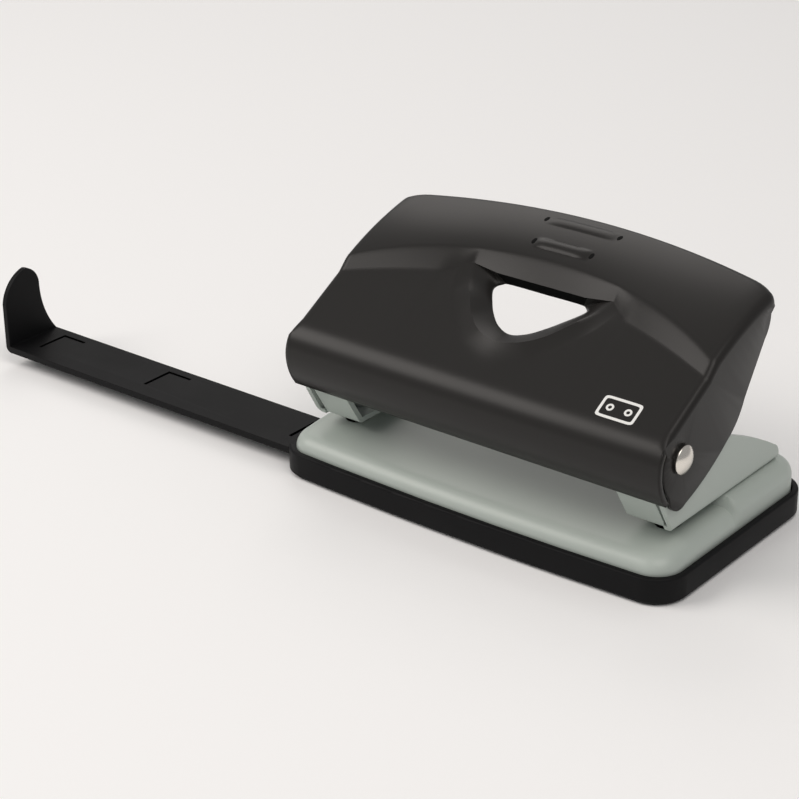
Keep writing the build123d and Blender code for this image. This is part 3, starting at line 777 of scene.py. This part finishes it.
handle_mesh = bpy.data.meshes.new("handle_shell")
shell = bmesh.new()
columns = handle_columns()
grid = []
for x in columns:
    plan_x, inset = cheek_fold(x)
    line = shell_line(x)
    normals = line_normals(line)
    side = 1 if x >= 0 else -1
    column = []
    for row, (point, normal) in enumerate(zip(line, normals)):
        folded = min(max((row - SLIT_ROW) / 6, 0.0), 1.0, 0.25 + (len(line) - 1 - row) / 12)
        rise = rib_rise(x, point.x) if row > FOOT_ROW + 8 else 0.0
        place = point + normal * (rise - inset * folded)
        reach = plan_x if row > SLIT_ROW else abs(x)
        if row < SLIT_ROW and x in (columns[0], columns[-1]):
            reach = HANDLE_HALF
        column.append(shell.verts.new((side * reach, place.x, place.y)))
    grid.append(column)
for left, right in zip(range(len(columns) - 1), range(1, len(columns))):
    for row in range(len(grid[0]) - 1):
        inside = abs(columns[left] + columns[right]) / 2 < PATCH_HALF
        if inside and PATCH_ROW <= row < FOOT_ROW:
            continue
        shell.faces.new((
            grid[left][row], grid[right][row], grid[right][row + 1], grid[left][row + 1]
        ))

# the collar round the thumb window, spoke by spoke
top_places = []
for i in range(round(COLLAR_HALF / FINE_STEP) + 1):
    x = i * FINE_STEP
    if x <= WINDOW_X:
        top_places.append(x / WINDOW_X)
    elif x <= TIP_X:
        top_places.append(1 + (x - WINDOW_X) / (TIP_X - WINDOW_X))
    else:
        top_places.append(2 + (x - TIP_X) / (COLLAR_HALF - TIP_X))
LOW_SPOKES = 60
low_places = [3 + 5 * (i + 1) / LOW_SPOKES for i in range(LOW_SPOKES)]
middle_column = len(columns) // 2
spokes = []
for side in (1, -1):
    half = []
    for i, place in enumerate(top_places + low_places):
        line = collar_line(place)
        first = shell.verts.new((side * line[0].x, line[0].y, line[0].z))
        if i < len(top_places):
            first = grid[middle_column + side * i][FOOT_ROW]
        half.append([first] + [shell.verts.new((side * p.x, p.y, p.z)) for p in line[1:]])
    spokes.append(half)
ring = spokes[0] + spokes[1][-2:0:-1]
SHADED_SPOKES = 24         # the sheet over the window turns down into deep shade, painted near-black on these spokes
# faces from the ridge to the window's edge on these spokes get the near-black painted shade
painted_shade = [spoke[SLOPE_STEPS:] for half in spokes for spoke in half[:SHADED_SPOKES]]
painted_shade = {vertex for spoke in painted_shade for vertex in spoke}
for spoke, following in zip(ring, ring[1:] + ring[:1]):
    for k in range(len(spoke) - 1):
        corners = [spoke[k], spoke[k + 1], following[k + 1], following[k]]
        face = shell.faces.new(corners)
        face.material_index = 1 if painted_shade.issuperset(corners) else 0


def fill_flat(mesh, loops):
    """Fills the flat area bounded by loops of vertices with triangles."""
    edges = []
    for loop in loops:
        for a, b in zip(loop, loop[1:] + loop[:1]):
            edges.append(mesh.edges.get((a, b)) or mesh.edges.new((a, b)))
    bmesh.ops.triangle_fill(mesh, edges=edges, use_beauty=True)


# flat rest of the panel between the collar and the mesh's regular rows
edge_column = round(PATCH_HALF / FINE_STEP)
rim_column = round(COLLAR_HALF / FINE_STEP)
right_edge = middle_column + edge_column
left_edge = middle_column - edge_column
around = [grid[c][FOOT_ROW] for c in range(right_edge, middle_column + rim_column, -1)]
around += [spoke[0] for spoke in spokes[0][rim_column:]]
around += [spoke[0] for spoke in spokes[1][-2:rim_column - 1:-1]]
around += [grid[c][FOOT_ROW] for c in range(middle_column - rim_column - 1, left_edge - 1, -1)]
around += [grid[left_edge][row] for row in range(FOOT_ROW - 1, PATCH_ROW - 1, -1)]
around += [grid[c][PATCH_ROW] for c in range(left_edge + 1, right_edge)]
around += [grid[right_edge][row] for row in range(PATCH_ROW, FOOT_ROW)]
fill_flat(shell, [around])

# cheeks: the shell's end folds down into them, and a slit parts them from the nose;
# the heel is their rear and lower edge
SLIT_INSET = 0.0021        # the cheek's front edge stays this far behind the nose's face
PIVOT_HOLE = 0.00205
HOLE_POINTS = 24
heel = arc((0.0126, 0.0486), (0.0123, 0.0466), (0.0106, 0.0437), 6)
heel += straight((0.0106, 0.0437), (0.0040, 0.0334), 6)[1:]
heel += arc((0.0040, 0.0334), (0.0015, 0.0292), (-0.0020, 0.0262), 8)[1:]
heel += arc((-0.0020, 0.0262), (-0.0098, 0.0213), (-0.0168, 0.0184), 10)[1:]
heel += arc((-0.0168, 0.0184), (-0.0197, 0.0179), (-0.0219, 0.0195), 8)[1:]
nose_line = shell_line(HANDLE_HALF)
nose_normals = line_normals(nose_line)
slit = [nose_line[row] - nose_normals[row] * SLIT_INSET for row in range(SLIT_ROW)]
for side, end in ((1, grid[-1]), (-1, grid[0])):
    cheek = end[SLIT_ROW:]
    cheek += [shell.verts.new((side * CHEEK_X, p.x, p.y)) for p in heel + slit]
    hole = []
    for i in range(HOLE_POINTS):
        angle = 2 * pi * i / HOLE_POINTS
        y = PIVOT[0] + PIVOT_HOLE * cos(angle)
        z = PIVOT[1] + PIVOT_HOLE * sin(angle)
        hole.append(shell.verts.new((side * CHEEK_X, y, z)))
    fill_flat(shell, [cheek, hole])

bmesh.ops.remove_doubles(shell, verts=shell.verts, dist=1e-6)
bmesh.ops.dissolve_degenerate(shell, edges=shell.edges, dist=1e-6)
bmesh.ops.delete(shell, geom=[v for v in shell.verts if not v.link_faces], context="VERTS")
bmesh.ops.recalc_face_normals(shell, faces=shell.faces)
highest = max(shell.faces, key=lambda face: face.calc_center_median().z)
if highest.normal.z < 0:
    bmesh.ops.reverse_faces(shell, faces=shell.faces)
shell.to_mesh(handle_mesh)
shell.free()
handle_paint = finish_material(
    "handle_paint", (0.0195, 0.0184, 0.0175), 0.0, 0.31, 0.05, 1600, 0.04, 0.2
)
# near-black painted shade: the window's top return, the strips behind the slits and the rib ends'
# wells
shadow_black = finish_material("painted_shade", (0.003, 0.003, 0.003), 0.0, 0.75, 0.02, 1600, 0.0, 0.1)
handle_mesh.materials.append(handle_paint)
handle_mesh.materials.append(shadow_black)
handle_mesh.shade_smooth()
handle_mesh.set_sharp_from_angle(angle=radians(32))
handle = bpy.data.objects.new("handle_lever", handle_mesh)
bpy.context.scene.collection.objects.link(handle)
thickness = handle.modifiers.new("sheet thickness", "SOLIDIFY")
thickness.thickness = SHEET
thickness.offset = -1
thickness.use_even_offset = False
# the sheet is drawn thin at the collar's two tips
tips = handle.vertex_groups.new(name="drawn thin")
THIN_REACH = 0.004         # the sheet has its full thickness again this far from a tip
THINNEST = 0.05
tip_line = [on_foot(TIP_X + (FOOT_BLEND - TIP_X) * i / 6) for i in range(6)]
for vertex in handle_mesh.vertices:
    place = Vector((abs(vertex.co.x), vertex.co.y, vertex.co.z))
    away = min((place - tip).length for tip in tip_line)
    tips.add([vertex.index], min(max(away / THIN_REACH, THINNEST), 1.0), "REPLACE")
thickness.vertex_group = "drawn thin"
level = handle.modifiers.new("level faces", "WEIGHTED_NORMAL")
level.keep_sharp = True
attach(handle, "handle")
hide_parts("handle")


# ---------------------------------------------------------------- shade behind the slits
# A narrow near-black strip lies behind each slit at the nose's ends, just inside the cheek.
# It is painted shade, so that the slit reads dark.
SHADOW_FRONT, SHADOW_REAR = 0.00085, 0.0025    # the strip's edges, measured in from the nose's face
SHADOW_OUTER, SHADOW_INNER = CHEEK_X - 0.0011, CHEEK_X - 0.0013
slit_shadow_mesh = bpy.data.meshes.new("slit_shadow_strips")
shadow_strips = bmesh.new()
for side in (1, -1):
    rows = []
    for place, normal in list(zip(nose_line, nose_normals))[1:SLIT_ROW]:
        row = []
        for x, inset in ((SHADOW_OUTER, SHADOW_FRONT), (SHADOW_OUTER, SHADOW_REAR),
                         (SHADOW_INNER, SHADOW_REAR), (SHADOW_INNER, SHADOW_FRONT)):
            point = place - normal * inset
            row.append(shadow_strips.verts.new((side * x, point.x, point.y)))
        rows.append(row)
    for row, following in zip(rows, rows[1:]):
        for i in range(4):
            shadow_strips.faces.new((row[i], row[(i + 1) % 4], following[(i + 1) % 4], following[i]))
    shadow_strips.faces.new(rows[0])
    shadow_strips.faces.new(rows[-1])
bmesh.ops.recalc_face_normals(shadow_strips, faces=shadow_strips.faces)
shadow_strips.to_mesh(slit_shadow_mesh)
shadow_strips.free()
slit_shadow_mesh.materials.append(shadow_black)
slit_shadow_strips = bpy.data.objects.new("slit_shadow_strips", slit_shadow_mesh)
bpy.context.scene.collection.objects.link(slit_shadow_strips)
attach(slit_shadow_strips, "handle")


# ---------------------------------------------------------------- rib ends
# Each lanced rib is open at both ends, where the press tool pierced the sheet.
# The four openings are near-black wells set into the crown: painted shade for the open ends.
def crown_point(x, y):
    """Point and outward normal of the shell over (x, y), behind the step."""
    line = shell_line(x)
    normals = line_normals(line)
    for i in range(FOOT_ROW, len(line) - 1):
        if line[i].x <= y < line[i + 1].x:
            share = (y - line[i].x) / (line[i + 1].x - line[i].x)
            place = line[i].lerp(line[i + 1], share)
            return Vector((x, place.x, place.y)), Vector((0, normals[i].x, normals[i].y))


WELL_RADIUS = 0.0005
WELL_STRETCH = 1.8         # each well is this much wider across the rib
WELL_DEPTH = 0.0007
WELL_SUNK = 0.00032        # how far its middle lies under the crown
wells = bmesh.new()
for half, middle, width, height in RIBS:
    for side in (-1, 1):
        place, up = crown_point(side * (half + WELL_RADIUS), middle)
        turn = Vector((0, 0, 1)).rotation_difference(up).to_matrix().to_4x4()
        well = Matrix.Translation(place - up * WELL_SUNK) @ turn
        bmesh.ops.create_cone(
            wells, cap_ends=True, segments=20, radius1=WELL_RADIUS, radius2=WELL_RADIUS,
            depth=WELL_DEPTH, matrix=well @ Matrix.Diagonal((1, WELL_STRETCH, 1, 1)),
        )
wells_mesh = bpy.data.meshes.new("rib_end_shade")
wells.to_mesh(wells_mesh)
wells.free()
# the wells carry the near-black painted shade
wells_mesh.materials.append(shadow_black)
rib_end_shade = bpy.data.objects.new("rib_end_shade", wells_mesh)
bpy.context.scene.collection.objects.link(rib_end_shade)
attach(rib_end_shade, "handle")


# ---------------------------------------------------------------- printed symbol
# Pad-printed white sign low on the panel's right: a plain sheet with its two holes.
# It is a film of ink a few hundredths thick.
SIGN_X = 0.0335
SIGN_Y = -0.0212           # the sign's middle, measured along the slope
SIGN_SIZE = (0.0088, 0.0052)
INK = 0.00004
LINE_WIDTH = 0.0006
DOT_SHIFT = 0.0021         # each hole's sign stands this far from the middle
DOT_RADIUS, DOT_HOLE = 0.00085, 0.0004


def on_slope(across, along):
    """Point of the panel's outer face at x = SIGN_X + across, along metres up its slope."""
    step = along / sqrt(1 + PANEL_RISE**2)
    y = SIGN_Y + step
    return Vector((SIGN_X + across, y, panel_z(y)))


def ring_points(radius_x, radius_y, power, count):
    """Points round a rounded rectangle or, with power 2, an ellipse."""
    points = []
    for i in range(count):
        angle = 2 * pi * i / count
        c, s = cos(angle), sin(angle)
        points.append((
            radius_x * abs(c) ** (2 / power) * (1 if c >= 0 else -1),
            radius_y * abs(s) ** (2 / power) * (1 if s >= 0 else -1),
        ))
    return points


slope_up = Vector((0, -PANEL_RISE, 1)).normalized()
sign = bmesh.new()


def ink_band(outer, inner, shift):
    """Thin raised ring of ink between two outlines with the same number of points."""
    rows = []
    for outline, lift in ((outer, -INK), (outer, INK), (inner, INK), (inner, -INK)):
        rows.append([
            sign.verts.new(on_slope(shift + across, along) + slope_up * lift)
            for across, along in outline
        ])
    for row, following in zip(rows, rows[1:] + rows[:1]):
        for i in range(len(row)):
            j = (i + 1) % len(row)
            sign.faces.new((row[i], following[i], following[j], row[j]))


half_w, half_h = SIGN_SIZE[0] / 2, SIGN_SIZE[1] / 2
ink_band(
    ring_points(half_w, half_h, 9, 96),
    ring_points(half_w - LINE_WIDTH, half_h - LINE_WIDTH, 12, 96),
    0,
)
for shift in (-DOT_SHIFT, DOT_SHIFT):
    ink_band(
        ring_points(DOT_RADIUS, DOT_RADIUS, 2, 32), ring_points(DOT_HOLE, DOT_HOLE, 2, 32), shift
    )
bmesh.ops.recalc_face_normals(sign, faces=sign.faces)
sign_mesh = bpy.data.meshes.new("sheet_sign")
sign.to_mesh(sign_mesh)
sign.free()
white_ink = finish_material("white_ink", (0.80, 0.80, 0.78), 0.0, 0.5, 0.04, 2500, 0.02)
sign_mesh.materials.append(white_ink)
sheet_sign = bpy.data.objects.new("sheet_sign", sign_mesh)
bpy.context.scene.collection.objects.link(sheet_sign)
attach(sheet_sign, "handle")
